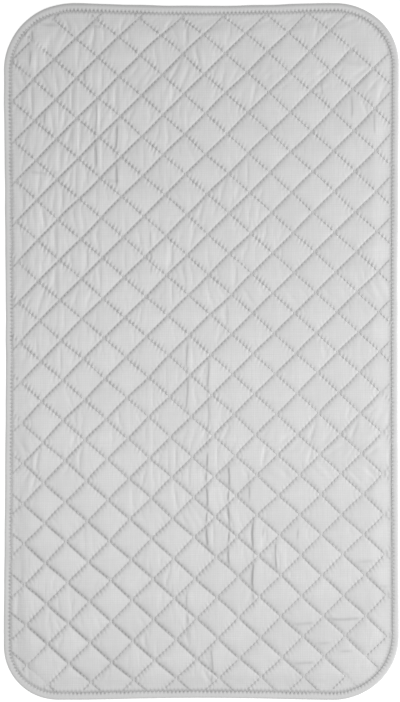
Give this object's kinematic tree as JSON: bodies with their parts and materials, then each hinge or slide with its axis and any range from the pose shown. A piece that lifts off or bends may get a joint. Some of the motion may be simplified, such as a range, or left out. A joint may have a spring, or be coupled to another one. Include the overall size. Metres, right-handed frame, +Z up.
{
  "type": "ironing pad",
  "caption": "Quilted ironing pad: silver-coated cotton sewn in diamonds over wadding, with a bound edge and corner magnets, to lay on a table or washer.",
  "frame": {"origin": "centre of the underside, on the table that the pad lies on", "axes": "+X across the pad to the right of the picture, +Y along it to the top of the picture, +Z up"},
  "size_m": [0.48, 0.85, 0.006],
  "materials": {
    "face_cloth": "silver-coated cotton, satin",
    "binding_tape": "plain woven tape, matt",
    "thread": "spun thread, matt",
    "wadding": "fleece, matt",
    "backing_cloth": "plain cotton, matt",
    "magnet": "ferrite, matt"
  },
  "bodies": {
    "root": {"quilted_face": "face_cloth", "edge_binding": "binding_tape", "binding_thread": "thread", "wadding": "wadding", "backing": "backing_cloth", "quilt_thread_01": "thread", "quilt_thread_02": "thread", "quilt_thread_03": "thread", "quilt_thread_04": "thread", "quilt_thread_05": "thread", "quilt_thread_06": "thread", "quilt_thread_07": "thread", "quilt_thread_08": "thread", "quilt_thread_09": "thread", "quilt_thread_10": "thread", "quilt_thread_11": "thread", "quilt_thread_12": "thread", "quilt_thread_13": "thread", "quilt_thread_14": "thread", "quilt_thread_15": "thread", "quilt_thread_16": "thread", "quilt_thread_17": "thread", "magnet_front_left": "magnet", "magnet_front_right": "magnet", "magnet_rear_left": "magnet", "magnet_rear_right": "magnet"}
  },
  "joints": []
}
